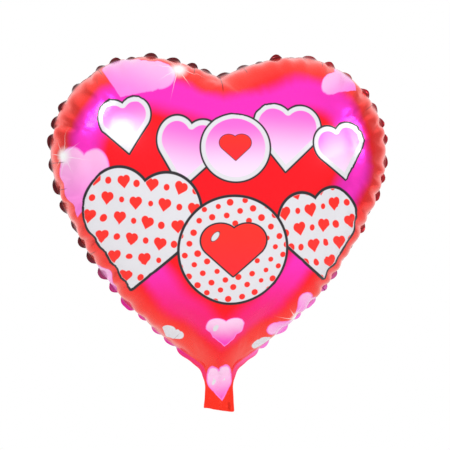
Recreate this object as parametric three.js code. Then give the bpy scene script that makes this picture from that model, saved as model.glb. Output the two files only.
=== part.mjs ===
// Heart-shaped foil balloon, shown inflated and upright.
//
// Two heart-shaped films of metallised plastic are heat-sealed together round their edge. They run
// down through a narrow neck into a flat tail, which is left open at its end for the gas nozzle. A
// flat valve of two thinner films is sealed inside the neck: gas pushes its loose lips apart on the
// way in and presses them shut afterwards. The tail folds at the neck, where the balloon is tied.
//
// Millimetres, +Z up. The front faces -Y, and the origin is the tie point at the middle of the neck.

import * as THREE from 'three';

// ---- Driving dimensions ----
const HEART_WIDTH = 374; // across the sealed edges at the widest place, inflated
const HEART_HEIGHT = 362; // tie point to the tops of the two lobes
const CLEFT_DROP = 22; // lobe tops down to the cleft
const BELLY_DEPTH = 172; // front to back at the fattest place, between the films
const EDGE_WIDTH = 5.5; // flat sealed border round the heart
const FILM = 0.4; // thickness of the outer films, a stand-in for about 0.03
const WELD = 0.4; // thickness of the sealed layer between two films
const LAYER_GAP = 0.05; // between a film and the sealed layer on it

const SHOULDER_WIDTH = 38; // across the neck where the heart runs into it
const SHOULDER_HEIGHT = 12; // of that place above the tie point
const NECK_WIDTH = 30; // across the sealed edges at the tie point
const NECK_RISE = 1; // how far each film stands off the sealed layer beside the fold
const SHOULDER_RISE = 5; // the same at the shoulder
const TAPER_LENGTH = 42; // height above the shoulder over which the neck swells into the heart
const FOLD_CLEAR = 3; // film left out each side of the fold line, room for the fold
const FLAT_RUN = 5; // length beside the fold where the films lie flat

const TAIL_LENGTH = 32; // tie point to the open end
const TAIL_WIDTH = 34; // across the open end
const TAIL_EDGE = 4; // sealed border each side of the tail
const TAIL_RISE = 2.75; // how far each film stands off where the tail is open
const TAIL_SLOPE = 6; // length over which the tail opens below its flat run

const VALVE_WIDTH = 13; // of the two thin films of the valve
const VALVE_FILM = 0.3; // their thickness, a stand-in for about 0.02
const VALVE_GAP = 0.7; // between the two at rest
const VALVE_EDGE = 1.2; // sealed border each side of the valve
const VALVE_CLEAR = 0.1; // between the valve and what it is sealed to
const VALVE_ROOM = 0.5; // each side of the valve, in the flat middle of the neck and of the tail
const VALVE_PIVOT = 21; // height above the tie point where the loose lips begin
const PIVOT_CLEAR = 1; // film left out each side of that line
const VALVE_TOP = 76; // top of the lips
const MOUTH_LENGTH = 26; // tie point down to the valve's mouth in the tail
const ANCHOR_LENGTH = 4; // of the seal that holds the valve to each outer film
const ANCHOR_INSET = 0.5; // from the film's end up to that seal

const COLOURS = {
  film: 0xe81f33,
  edge: 0xf0455a,
  valve: 0xdfe6ee,
};

// ---- Shape of the heart ----
const HALF_WIDTH = HEART_WIDTH / 2;
const CENTRE = new THREE.Vector2(0, 0.55 * HEART_HEIGHT); // the films' rings are centred here
const RINGS = [1, 0.985, 0.95, 0.9, 0.82, 0.72, 0.6, 0.46, 0.3, 0.15]; // 1 is the sealed edge
const RIM_SHARE = 0.9; // outside this ring the film curves in like the rim of a pillow
const GRID = 4; // of the table that gives the fullness of the films

const share = (x, z) => new THREE.Vector2(x * HALF_WIDTH, z * HEART_HEIGHT);

// The right half of the outline: cleft, lobe, widest place, straight flank, hollow run to the neck.
function outlineHalf() {
  const cleft = new THREE.Vector2(0, HEART_HEIGHT - CLEFT_DROP);
  const shoulder = new THREE.Vector2(SHOULDER_WIDTH / 2, SHOULDER_HEIGHT);
  const lobeTop = share(0.449, 1);
  const side = share(1, 0.704);
  const flank = share(0.559, 0.246);
  const run = SHOULDER_WIDTH / 2 + 5;
  const rise = SHOULDER_HEIGHT + 8;
  const curves = [
    [8, cleft, share(0.096, 0.961), share(0.267, 1), lobeTop],
    [9, lobeTop, share(0.717, 1), share(1, 0.878), side],
    [9, side, share(1, 0.586), share(0.802, 0.387), flank],
    [8, flank, share(0.321, 0.122), new THREE.Vector2(run, rise), shoulder],
  ];
  const points = [];
  for (const [steps, ...corners] of curves) {
    const curve = new THREE.CubicBezierCurve(...corners);
    points.push(...curve.getPoints(steps).slice(0, steps));
  }
  points.push(shoulder);
  return points;
}

// The same number of points, moved in by the width of the sealed border.
function sealHalf(outline) {
  return outline.map((point, i) => {
    if (i === 0) return new THREE.Vector2(0, point.y - EDGE_WIDTH);
    if (i === outline.length - 1) return new THREE.Vector2(point.x - EDGE_WIDTH, point.y);
    const along = outline[i + 1].clone().sub(outline[i - 1]).normalize();
    return new THREE.Vector2(point.x + along.y * EDGE_WIDTH, point.y - along.x * EDGE_WIDTH);
  });
}

// A whole run, clockwise from the right shoulder's mirror image: left shoulder, cleft, right shoulder.
function bothSides(half) {
  const left = half.slice(1).reverse().map((point) => new THREE.Vector2(-point.x, point.y));
  return [...left, ...half];
}

const OUTLINE = bothSides(outlineHalf());
const SEAL = bothSides(sealHalf(outlineHalf()));

function isInside(polygon, x, z) {
  let inside = false;
  for (let i = 0, j = polygon.length - 1; i < polygon.length; j = i, i += 1) {
    const a = polygon[i];
    const b = polygon[j];
    const crosses = a.y > z !== b.y > z;
    if (crosses && x < ((b.x - a.x) * (z - a.y)) / (b.y - a.y) + a.x) inside = !inside;
  }
  return inside;
}

// Fullness of the inflated films: the height of a loaded soap film over the same outline, whose
// square root gives the round shoulders of a pillow. The channel of the neck stays open below.
function makeFullness() {
  const bottom = -8 * GRID;
  const channel = SHOULDER_WIDTH / 2 - EDGE_WIDTH;
  const polygon = [new THREE.Vector2(-channel, bottom), ...SEAL, new THREE.Vector2(channel, bottom)];
  const columns = 2 * Math.ceil(HALF_WIDTH / GRID) + 1;
  const rows = Math.ceil((HEART_HEIGHT - bottom) / GRID) + 1;
  const left = (-(columns - 1) / 2) * GRID;
  const level = new Float64Array(columns * rows);
  const cells = [];
  for (let row = 1; row < rows - 1; row += 1) {
    for (let column = 1; column < columns - 1; column += 1) {
      const inside = isInside(polygon, left + column * GRID, bottom + row * GRID);
      if (inside) cells.push(row * columns + column);
    }
  }
  const sweeps = 260;
  const overshoot = 1.9;
  for (let sweep = 0; sweep < sweeps; sweep += 1) {
    for (const c of cells) {
      const mean = (level[c - 1] + level[c + 1] + level[c - columns] + level[c + columns] + 1) / 4;
      level[c] += overshoot * (mean - level[c]);
    }
  }
  const full = Math.max(...level);
  return (x, z) => {
    const column = Math.min(Math.max((x - left) / GRID, 0), columns - 1.001);
    const row = Math.min(Math.max((z - bottom) / GRID, 0), rows - 1.001);
    const i = Math.floor(column);
    const j = Math.floor(row);
    const u = column - i;
    const v = row - j;
    const at = (p, q) => level[q * columns + p];
    const low = at(i, j) * (1 - u) + at(i + 1, j) * u;
    const high = at(i, j + 1) * (1 - u) + at(i + 1, j + 1) * u;
    return (BELLY_DEPTH / 2) * Math.sqrt(Math.max(low * (1 - v) + high * v, 0) / full);
  };
}

// ---- Sheets: points over the XZ plane, each with its rise off the middle plane ----
class Sheet {
  constructor() {
    this.points = [];
    this.faces = [];
    this.places = new Map();
  }

  point(x, z, rise, flat = true) {
    const key = `${x.toFixed(4)} ${z.toFixed(4)}`;
    if (!this.places.has(key)) {
      this.places.set(key, this.points.length);
      this.points.push({ x, z, rise, flat });
    }
    return this.places.get(key);
  }

  // A face with any number of corners, given in either sense.
  face(...corners) {
    for (let i = 1; i < corners.length - 1; i += 1) {
      const [a, b, c] = [corners[0], corners[i], corners[i + 1]];
      const [p, q, r] = [a, b, c].map((corner) => this.points[corner]);
      const turn = (q.x - p.x) * (r.z - p.z) - (q.z - p.z) * (r.x - p.x);
      if (turn !== 0) this.faces.push(turn > 0 ? [a, b, c] : [a, c, b]);
    }
  }

  // Rows of points joined by quads, each row the same number of points.
  grid(rows) {
    for (let row = 0; row < rows.length - 1; row += 1) {
      for (let i = 0; i < rows[row].length - 1; i += 1) {
        this.face(rows[row][i], rows[row][i + 1], rows[row + 1][i + 1], rows[row + 1][i]);
      }
    }
  }
}

// A sheet made solid. side is -1 at the front and +1 at the back; level is how far the near face
// lies from the middle plane, and the far face is a film's thickness further out, straight out
// where the sheet is flat and square to the surface elsewhere.
function solid(sheet, side, level, thickness) {
  const near = sheet.points.map(({ x, z, rise }) => new THREE.Vector3(x, side * (level + rise), z));
  const normals = near.map(() => new THREE.Vector3());
  const faces = sheet.faces.map(([a, b, c]) => (side < 0 ? [a, b, c] : [a, c, b]));
  for (const face of faces) {
    const [p, q, r] = face.map((corner) => near[corner]);
    const square = q.clone().sub(p).cross(r.clone().sub(p));
    for (const corner of face) normals[corner].add(square);
  }
  const far = near.map((point, i) => {
    const out = sheet.points[i].flat ? new THREE.Vector3(0, side, 0) : normals[i].normalize();
    return point.clone().addScaledVector(out, thickness);
  });
  const count = near.length;
  const triangles = [];
  const edges = new Set();
  for (const [a, b, c] of faces) {
    triangles.push([a, b, c], [a + count, c + count, b + count]);
    for (const edge of [[a, b], [b, c], [c, a]]) edges.add(edge.join(' '));
  }
  for (const edge of edges) {
    const [a, b] = edge.split(' ').map(Number);
    if (!edges.has(`${b} ${a}`)) triangles.push([b, a, a + count], [b, a + count, b + count]);
  }
  const geometry = new THREE.BufferGeometry();
  const places = [...far, ...near].flatMap((point) => point.toArray());
  geometry.setAttribute('position', new THREE.Float32BufferAttribute(places, 3));
  geometry.setIndex(triangles.flat());
  geometry.computeVertexNormals();
  return geometry;
}

// ---- Outer films and the seal between them ----
const SEAL_LEVEL = WELD / 2 + LAYER_GAP; // inner face of an outer film on its border
const CHANNEL = VALVE_WIDTH / 2 + VALVE_ROOM; // half width of that flat middle

// Half width of the neck at a height between the fold and the shoulder.
function neckHalf(height) {
  return THREE.MathUtils.mapLinear(height, 0, SHOULDER_HEIGHT, NECK_WIDTH / 2, SHOULDER_WIDTH / 2);
}

const NECK_ROWS = [
  { z: SHOULDER_HEIGHT, rise: SHOULDER_RISE },
  { z: FOLD_CLEAR + FLAT_RUN, rise: NECK_RISE },
  { z: FOLD_CLEAR, rise: NECK_RISE },
];

function envelopeSheet() {
  const fullness = makeFullness();
  const sheet = new Sheet();
  const last = SEAL.length - 1;
  const crossing = [CHANNEL, 0, -CHANNEL].map((x) => new THREE.Vector2(x, SHOULDER_HEIGHT));
  const loop = [...SEAL, ...crossing];
  const shoulderShare = SHOULDER_RISE / fullness(0, SHOULDER_HEIGHT);
  const taper = (z) => {
    const up = THREE.MathUtils.smoothstep(z, SHOULDER_HEIGHT, SHOULDER_HEIGHT + TAPER_LENGTH);
    return THREE.MathUtils.lerp(Math.min(shoulderShare, 1), 1, up);
  };
  const height = (edge, ring) => {
    const place = CENTRE.clone().lerp(edge, ring);
    const straight = edge.y <= SHOULDER_HEIGHT || ring <= RIM_SHARE;
    if (straight) return taper(place.y) * fullness(place.x, place.y);
    const rim = CENTRE.clone().lerp(edge, RIM_SHARE);
    const curl = Math.sqrt((1 - ring) / (1 - RIM_SHARE));
    return taper(place.y) * fullness(rim.x, rim.y) * curl;
  };
  const rows = RINGS.map((ring) => {
    const row = loop.map((edge, i) => {
      const place = CENTRE.clone().lerp(edge, ring);
      if (ring < 1) return sheet.point(place.x, place.y, height(edge, ring), false);
      return sheet.point(place.x, place.y, i > last ? SHOULDER_RISE : 0);
    });
    return [...row, row[0]];
  });
  sheet.grid(rows);
  const apex = sheet.point(CENTRE.x, CENTRE.y, fullness(CENTRE.x, CENTRE.y), false);
  const inner = rows.at(-1);
  for (let i = 0; i < loop.length; i += 1) sheet.face(inner[i], inner[i + 1], apex);
  edgeStrip(sheet);
  sheet.grid(NECK_ROWS.map(({ z, rise }) => {
    const seal = neckHalf(z) - EDGE_WIDTH;
    const middle = [-CHANNEL, 0, CHANNEL].map((x) => sheet.point(x, z, rise));
    return [sheet.point(-seal, z, 0), ...middle, sheet.point(seal, z, 0)];
  }));
  return sheet;
}

// The flat border from the neck's left side up over the lobes and down to its right side.
function edgeStrip(sheet) {
  const down = NECK_ROWS.slice(1).map(({ z }) => z);
  const run = (points, inset) => [
    ...[...down].reverse().map((z) => sheet.point(inset - neckHalf(z), z, 0)),
    ...points.map((point) => sheet.point(point.x, point.y, 0)),
    ...down.map((z) => sheet.point(neckHalf(z) - inset, z, 0)),
  ];
  sheet.grid([run(OUTLINE, 0), run(SEAL, EDGE_WIDTH)]);
}

function edgeWeld() {
  const sheet = new Sheet();
  edgeStrip(sheet);
  return solid(sheet, -1, -WELD / 2, WELD);
}

// ---- Tail ----
function tailHalf(z) {
  return THREE.MathUtils.mapLinear(z, 0, -TAIL_LENGTH, NECK_WIDTH / 2, TAIL_WIDTH / 2);
}

const TAIL_OPEN = FOLD_CLEAR + FLAT_RUN + TAIL_SLOPE; // below this the tail stands fully open
const TAIL_ROWS = [
  { z: -FOLD_CLEAR, rise: NECK_RISE },
  { z: -FOLD_CLEAR - FLAT_RUN, rise: NECK_RISE },
  { z: -TAIL_OPEN, rise: TAIL_RISE },
  { z: -TAIL_LENGTH, rise: TAIL_RISE },
];

function tailSheet() {
  const sheet = new Sheet();
  sheet.grid(TAIL_ROWS.map(({ z, rise }) => {
    const edge = tailHalf(z);
    const places = [-edge, TAIL_EDGE - edge, -CHANNEL, 0, CHANNEL, edge - TAIL_EDGE, edge];
    return places.map((x) => sheet.point(x, z, Math.abs(x) > CHANNEL ? 0 : rise));
  }));
  return sheet;
}

function tailWeld(side) {
  const sheet = new Sheet();
  sheet.grid(TAIL_ROWS.map(({ z }) => {
    const edge = tailHalf(z);
    return [edge - TAIL_EDGE, edge].map((x) => sheet.point(side * x, z, 0));
  }));
  return solid(sheet, -1, -WELD / 2, WELD);
}

// ---- Valve ----
const VALVE_LEVEL = VALVE_GAP / 2;
const VALVE_HALF = VALVE_WIDTH / 2;

// A strip between two heights, or through several rows of { z, rise }.
function strip(x0, x1, rows) {
  const sheet = new Sheet();
  sheet.grid(rows.map(({ z, rise }) => [x0, x1].map((x) => sheet.point(x, z, rise))));
  return sheet;
}

const flatRows = (low, high) => [low, high].map((z) => ({ z, rise: 0 }));

function valveFilm(side, low, high) {
  return solid(strip(-VALVE_HALF, VALVE_HALF, flatRows(low, high)), side, VALVE_LEVEL, VALVE_FILM);
}

function valveWeld(side, low, high) {
  const thickness = VALVE_GAP - 2 * LAYER_GAP;
  const sheet = strip(side * (VALVE_HALF - VALVE_EDGE), side * VALVE_HALF, flatRows(low, high));
  return solid(sheet, -1, -thickness / 2, thickness);
}

// In the tail the valve's two films part and lie on the outer films, so that the mouth is open.
function valveMouth(side) {
  const spread = SEAL_LEVEL + TAIL_RISE - VALVE_CLEAR - VALVE_FILM - VALVE_LEVEL;
  const rows = [
    { z: -FOLD_CLEAR, rise: 0 },
    { z: -FOLD_CLEAR - FLAT_RUN, rise: 0 },
    { z: -TAIL_OPEN, rise: spread },
    { z: -MOUTH_LENGTH, rise: spread },
  ];
  return solid(strip(-VALVE_HALF, VALVE_HALF, rows), side, VALVE_LEVEL, VALVE_FILM);
}

function anchorWeld(side) {
  const low = FOLD_CLEAR + ANCHOR_INSET;
  const level = VALVE_LEVEL + VALVE_FILM + VALVE_CLEAR;
  const thickness = SEAL_LEVEL + NECK_RISE - VALVE_CLEAR - level;
  const sheet = strip(-VALVE_HALF, VALVE_HALF, flatRows(low, low + ANCHOR_LENGTH));
  return solid(sheet, side, level, thickness);
}

// ---- Assembly ----
const balloon = new THREE.Group();
const finishes = {
  film: { color: COLOURS.film, roughness: 0.18, metalness: 0.75 },
  edge: { color: COLOURS.edge, roughness: 0.3, metalness: 0.5 },
  valve: { color: COLOURS.valve, roughness: 0.4, metalness: 0 },
};

function add(name, geometry, finish) {
  const mesh = new THREE.Mesh(geometry, new THREE.MeshStandardMaterial(finishes[finish]));
  mesh.name = name;
  balloon.add(mesh);
}

const FACES = { front: -1, back: 1 };
const HANDS = { left: -1, right: 1 };
const INLET = [FOLD_CLEAR, VALVE_PIVOT - PIVOT_CLEAR];
const LIPS = [VALVE_PIVOT + PIVOT_CLEAR, VALVE_TOP];

const envelope = envelopeSheet();
const tail = tailSheet();
for (const [face, side] of Object.entries(FACES)) {
  add(`${face}_film`, solid(envelope, side, SEAL_LEVEL, FILM), 'film');
  add(`tail_${face}_film`, solid(tail, side, SEAL_LEVEL, FILM), 'film');
  add(`valve_inlet_${face}`, valveFilm(side, ...INLET), 'valve');
  add(`valve_lip_${face}`, valveFilm(side, ...LIPS), 'valve');
  add(`valve_mouth_${face}`, valveMouth(side), 'valve');
  add(`anchor_weld_${face}`, anchorWeld(side), 'valve');
}
add('edge_weld', edgeWeld(), 'edge');
for (const [hand, side] of Object.entries(HANDS)) {
  add(`tail_weld_${hand}`, tailWeld(side), 'edge');
  add(`valve_inlet_weld_${hand}`, valveWeld(side, ...INLET), 'valve');
  add(`valve_lip_weld_${hand}`, valveWeld(side, ...LIPS), 'valve');
}

export default balloon;
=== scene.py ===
"""Heart-shaped foil balloon: two printed films, their sealed edge, the filling tail and its valve."""

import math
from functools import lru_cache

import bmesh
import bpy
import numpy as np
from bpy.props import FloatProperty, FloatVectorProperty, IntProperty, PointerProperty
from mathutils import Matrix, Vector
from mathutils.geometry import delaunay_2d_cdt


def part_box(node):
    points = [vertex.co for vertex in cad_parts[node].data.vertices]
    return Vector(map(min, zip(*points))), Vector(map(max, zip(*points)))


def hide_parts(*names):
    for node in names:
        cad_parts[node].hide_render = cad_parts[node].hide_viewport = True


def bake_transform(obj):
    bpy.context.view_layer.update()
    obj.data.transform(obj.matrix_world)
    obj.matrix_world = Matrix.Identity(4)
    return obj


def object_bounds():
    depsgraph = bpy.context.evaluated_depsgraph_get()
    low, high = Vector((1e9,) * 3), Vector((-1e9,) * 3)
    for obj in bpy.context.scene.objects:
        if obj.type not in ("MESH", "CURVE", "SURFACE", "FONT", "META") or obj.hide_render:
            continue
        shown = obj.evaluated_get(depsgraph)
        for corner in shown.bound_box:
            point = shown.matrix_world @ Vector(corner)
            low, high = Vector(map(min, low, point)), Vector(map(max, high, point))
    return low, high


bl_info = {
    "name": "Heart foil balloon",
    "version": (1, 0, 0),
    "blender": (4, 5, 0),
    "location": "3D View > Sidebar > Balloon",
    "description": "Filled heart-shaped foil balloon with a sealed edge, a filling tail and a valve",
    "category": "Add Mesh",
}

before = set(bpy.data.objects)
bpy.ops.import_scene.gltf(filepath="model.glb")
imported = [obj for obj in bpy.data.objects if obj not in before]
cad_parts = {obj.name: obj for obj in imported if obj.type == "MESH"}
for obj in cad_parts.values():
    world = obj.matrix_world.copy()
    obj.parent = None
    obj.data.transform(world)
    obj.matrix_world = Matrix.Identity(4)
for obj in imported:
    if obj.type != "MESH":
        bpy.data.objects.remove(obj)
CAD_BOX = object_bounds()
MM = 0.001                                    # shapes are worked out in millimetres

# The blank and the filled shape, in millimetres
HEART_MIDDLE = np.array([0.0, 199.0])         # across and up; the rings of the film run round it
FILM_INSIDE = 0.6                             # the drawn film stays this far inside the CAD film's depth
NECK_LOW, NECK_HIGH = 14.0, 60.0              # the film is plain below and puckered above
RIM_DEPTH = 45.0                              # how far in from the seal the film gathers
NECK_TAPER = (12.0, 54.0)                     # heights between which the belly opens out
NECK_RISE = 5.0                               # how far each film stands out at the bottom of the belly
FLAT_NECK = 20.0                              # below this height the films are a flat lens
LENS_HEIGHTS = (-32, -14, -8, 3, 8, 12)       # heights on the tail and the neck
LENS_RISES = (2.75, 2.75, 1, 1, 1, NECK_RISE)  # how far each film stands out at those heights
RIM_ROWS = (2.5, 5.2, 8.2, 11.6, 15.5, 20.0, 25.0, 31.0, 38.0)
BORDER_WIDTH = 5.5                            # of the sealed border round the heart
BORDER_SHARES = (0.5, 1.0)                    # rows of points across the sealed border
HEART_LEAST_STEP = 2.0                        # no inner point is nearer the seal than this
RIM_ROOM, MIDDLE_ROOM = 0.62, 0.6             # points closer than this share of their step are left out
RIPPLE_FADE = 10.0                            # how fast the waves of the cut edge die away inwards
RIPPLE_FULL = 0.75                            # share of those waves that the full shape is given
FULL_FRAME = 16                               # frame by which the held points have moved to their full places
HELD_DEPTHS = (0.62, 0.85)                    # shares of RIM_DEPTH: free before, held beyond
HELD_HEIGHTS = (10, 40)                       # the neck is held below these heights, free above
GAS_REACH = 4.0                               # distance from the seal at which the gas presses in full
OUTLINE_REACH = 36.0                          # waves of the outline longer than this are straightened
OUTLINE_CALM = 0.45                           # and this share of the shorter ones
FILM_CALM = 0.3                               # share of the puckers' depth that is drawn out of the film
SMOOTH_ANGLE = math.radians(50)               # sharper edges than this stay sharp
LAYER_GAP = 0.03                              # between a film and the sealed layer
BORDER_SWING = math.radians(30)               # how far the border leans to and fro from pucker to pucker
BORDER_LEAN = math.radians(88)                # and how far it leans back on the whole
BORDER_GIVEN = 0.42                           # the films are pushed out by this share of the border's width
TAIL_WAVES = ((0.9, 7, 3.4, 0), (0.7, 4.1, -11, 1))  # depth, length of a radian across and up, start
TAIL_SLANT, TAIL_SCALLOP = 4.2, 0.4           # how unevenly the end of the tail is cut
PRINT_FULL = 50.0                             # height above which the print is as long as the filled film

# The valve, in millimetres
VALVE_GAUGE = 0.12                            # thickness shown for each of its films
VALVE_WELD = 1.2                              # how far the weld reaches in from each side
VALVE_SLACK = 0.12                            # least distance of each film from the valve's middle
SLEEVE_COLUMNS, SLEEVE_STEP = 13, 2.5         # points across each film, and the distance between its rows
MOUTH_OVERLAP = 8.0                           # the mouth's films end this far below the top of the inlet

# The cloth that stands for the film: thin, hard to stretch and easy to bend
CLOTH = {
    "quality": 6, "mass": 0.05, "tension_stiffness": 60, "compression_stiffness": 5, "shear_stiffness": 20,
    "bending_stiffness": 0.002, "tension_damping": 5, "compression_damping": 5, "shear_damping": 5,
    "bending_damping": 0.5, "use_pressure": True,
}

# Kinds of node that are used many times
MATH, VECTOR_MATH = "ShaderNodeMath", "ShaderNodeVectorMath"
MIX, MAP_RANGE = "ShaderNodeMix", "ShaderNodeMapRange"
GROUP, ATTRIBUTE = "ShaderNodeGroup", "ShaderNodeAttribute"


def linear(code):
    """An sRGB hex colour as the linear colour that a socket takes"""
    parts = [int(code[i:i + 2], 16) / 255 for i in (1, 3, 5)]
    return tuple(p / 12.92 if p <= 0.04045 else ((p + 0.055) / 1.055) ** 2.4 for p in parts) + (1.0,)


def smooth(value, low=0.0, high=1.0):
    """Nought below low, one above high, and an easy curve between them"""
    share = np.clip((value - low) / (high - low), 0, 1)
    return share * share * (3 - 2 * share)


class FilmSettings(bpy.types.PropertyGroup):
    """How the films are cut, sealed and filled"""

    cut_excess: FloatProperty(
        name="Cut excess", default=0.11, min=0, max=0.3, subtype="FACTOR",
        description="How much longer the films are cut round the rim than the filled outline")
    pucker_spacing: FloatProperty(
        name="Pucker spacing", default=0.020, min=0.008, unit="LENGTH",
        description="Distance from one pucker of the sealed edge to the next")
    pucker_start: FloatProperty(
        name="Pucker start", default=0.002, min=0, unit="LENGTH",
        description="How far the cut edge waves to and fro before the gas goes in")
    gas_pressure: FloatProperty(
        name="Gas pressure", default=30.0, min=0,
        description="Pressure of the filling gas in the cloth simulation")
    film_gauge: FloatProperty(
        name="Film thickness", default=0.0002, min=0.00003, unit="LENGTH",
        description="Thickness shown for each outer film")
    weld_gauge: FloatProperty(
        name="Weld thickness", default=0.0002, min=0.00003, unit="LENGTH",
        description="Thickness shown for the sealed layer between the films")
    point_step: FloatProperty(
        name="Point step", default=0.003, min=0.001, unit="LENGTH",
        description="Distance between points along the seal")
    inner_step: FloatProperty(
        name="Inner step", default=0.007, min=0.003, unit="LENGTH",
        description="Distance between points in the middle of a film")
    frames: IntProperty(
        name="Filling frames", default=40, min=10,
        description="Frames over which the films are filled and come to rest")


class PrintSettings(bpy.types.PropertyGroup):
    """The inks of the printed films, with painted colours for the rim sheen, the shade in the folds and the
    light and shade on the sealed border
    """

    red: FloatVectorProperty(
        name="Red", default=linear("#FF0A1C"), size=4, subtype="COLOR",
        description="Translucent red over the bright metal, in the middle of the heart")
    magenta: FloatVectorProperty(
        name="Magenta", default=linear("#FF2CC4"), size=4, subtype="COLOR",
        description="Soft band that follows the outline of the heart")
    hot_pink: FloatVectorProperty(
        name="Hot pink", default=linear("#FF1C78"), size=4, subtype="COLOR",
        description="Colour of the same band towards the point of the heart")
    tail: FloatVectorProperty(
        name="Tail", default=linear("#FF2C14"), size=4, subtype="COLOR",
        description="Orange-red of the tail")
    # painted shade: the sealed border round the lobes is painted deep crimson, as the shade its puckered
    # flange shows
    border: FloatVectorProperty(
        name="Border", default=linear("#5C0812"), size=4, subtype="COLOR",
        description="Deep crimson of the sealed border round the lobes")
    # painted light: the border on the right is painted a lighter crimson, where light falls on it
    lit_right_border: FloatVectorProperty(
        name="Right border", default=linear("#A81A26"), size=4, subtype="COLOR",
        description="Lighter crimson of the sealed border on the right")
    low_border: FloatVectorProperty(
        name="Low border", default=linear("#E61C9C"), size=4, subtype="COLOR",
        description="Magenta of the sealed border towards the point")
    # painted reflection: light red laid along the seal as the salmon sheen the film shows near its rim; the
    # sealed laminate takes the same colour
    rim: FloatVectorProperty(
        name="Rim", default=linear("#FF4A40"), size=4, subtype="COLOR",
        description="Thin light red along the seal")
    petal: FloatVectorProperty(
        name="Petal pink", default=linear("#FF7FE0"), size=4, subtype="COLOR",
        description="Pink of the large pale hearts")
    white: FloatVectorProperty(
        name="White", default=linear("#E2E1E7"), size=4, subtype="COLOR",
        description="Opaque white ink")
    line: FloatVectorProperty(
        name="Line", default=linear("#15101A"), size=4, subtype="COLOR",
        description="Near-black ink of the outlines")
    # painted shade: dark red laid into the folds and along the seam, where shade falls
    crease_shade: FloatVectorProperty(
        name="Crease", default=linear("#5A0614"), size=4, subtype="COLOR",
        description="Dark red that shows in the sharp folds at the rim")
    small_hearts: FloatVectorProperty(
        name="Small hearts", default=linear("#FF1A08"), size=4, subtype="COLOR",
        description="Orange-red of the small hearts and dots")


class StageSettings(bpy.types.PropertyGroup):
    """Floor, light and camera"""

    floor: FloatVectorProperty(
        name="Floor", default=linear("#F2F1EF"), size=4, subtype="COLOR",
        description="Colour of the plain floor")
    lens: FloatProperty(
        name="Lens", default=180.0, min=10,
        description="Focal length of the camera in millimetres")
    view_width: FloatProperty(
        name="View width", default=0.495, min=0.05, unit="LENGTH",
        description="Width that the picture takes in where the balloon hangs")
    azimuth: FloatProperty(
        name="Azimuth", default=math.radians(-5), subtype="ANGLE",
        description="How far the camera stands round from straight in front")
    elevation: FloatProperty(
        name="Elevation", default=math.radians(3), subtype="ANGLE",
        description="How far the camera stands above the level of the balloon")


# ---------------------------------------------------------------- the blank: outline, film, fullness

def merged(node):
    """A copy of a frame node's mesh with its loose triangles joined"""
    mesh = bmesh.new()
    mesh.from_mesh(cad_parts[node].data)
    bmesh.ops.remove_doubles(mesh, verts=mesh.verts, dist=1e-6)
    return mesh


def border_lines():
    """The heart's outline and its seal line, from the neck on the left round to the neck on the right"""
    mesh = merged("edge_weld")
    back = {f for f in mesh.faces if f.normal.y > 0.9}
    beside = {}
    for edge in mesh.edges:
        if sum(f in back for f in edge.link_faces) == 1:
            a, b = edge.verts
            beside.setdefault(a, []).append(b)
            beside.setdefault(b, []).append(a)
    start = min(beside, key=lambda v: (round(v.co.z, 5), v.co.x))
    last, here = start, max(beside[start], key=lambda v: v.co.z)
    chain = [start]
    while here is not start:
        chain.append(here)
        last, here = here, next(v for v in beside[here] if v is not last)
    points = np.array([(v.co.x / MM, v.co.z / MM) for v in chain])
    mesh.free()
    half = len(points) // 2
    return points[:half], points[half:][::-1]


def curve_points(points, places):
    """Points on a smooth curve through the given ones, at these places in their numbering"""
    run = np.vstack([2 * points[0] - points[1], points, 2 * points[-1] - points[-2]])
    first = np.clip(places.astype(int), 0, len(points) - 2)
    t = (places - first)[:, None]
    a, b, c, d = (run[first + k] for k in range(4))
    bend = (2 * a - 5 * b + 4 * c - d) * t ** 2 + (3 * b - a - 3 * c + d) * t ** 3
    return 0.5 * (2 * b + (c - a) * t + bend)


def even_places(points, step):
    """Places in the numbering of the points that lie a step apart along the curve"""
    fine = np.linspace(0, len(points) - 1, len(points) * 20)
    steps = np.linalg.norm(np.diff(curve_points(points, fine), axis=0), axis=1)
    along = np.r_[0, np.cumsum(steps)]
    return np.interp(np.linspace(0, along[-1], round(along[-1] / step) + 1), along, fine)


def tail_width(row):
    """Half widths of the tail's seal and outline at its top or bottom row"""
    low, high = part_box("tail_weld_right")
    height = (low if row == "bottom" else high).z
    mesh = merged("tail_weld_right")
    across = [v.co.x / MM for v in mesh.verts if abs(v.co.z - height) < 1e-5]
    mesh.free()
    return min(across), max(across)


def blank_outline(step):
    """Seal line and outline of the whole blank, from the tail's left end over the cleft to its right end"""
    outline, seal = border_lines()
    half = len(seal) // 2
    places = even_places(seal[half:], step)
    seal, outline = (curve_points(line[half:], places) for line in (seal, outline))
    low, high = (corner.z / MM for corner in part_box("tail_weld_right"))
    neck = seal[-1][1]
    heights = np.linspace(neck, low, round((neck - low) / step) + 1)[1:]
    runs = []
    for line, (bottom, top) in zip((seal, outline), zip(tail_width("bottom"), tail_width("top"))):
        across = np.interp(heights, [low, high, neck], [bottom, top, line[-1][0]])
        line = np.vstack([line, np.c_[across, heights]])
        runs.append(np.vstack([(line[1:] * [-1, 1])[::-1], line]))
    return runs


def distance_to(run, points):
    """Distance of each point from a run of straight pieces"""
    least = np.full(len(points), np.inf)
    for a, b in zip(run[:-1], run[1:]):
        along = np.clip((points - a) @ (b - a) / ((b - a) @ (b - a)), 0, 1)
        least = np.minimum(least, np.linalg.norm(points - a - along[:, None] * (b - a), axis=1))
    return least


def inside(run, points):
    """Which points lie inside a closed run"""
    x, z = points.T
    within = np.zeros(len(points), bool)
    for (xa, za), (xb, zb) in zip(run, np.roll(run, 1, axis=0)):
        crosses = ((za > z) != (zb > z)) & (x < (xb - xa) * (z - za) / (zb - za + 1e-12) + xa)
        within ^= crosses
    return within


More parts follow.
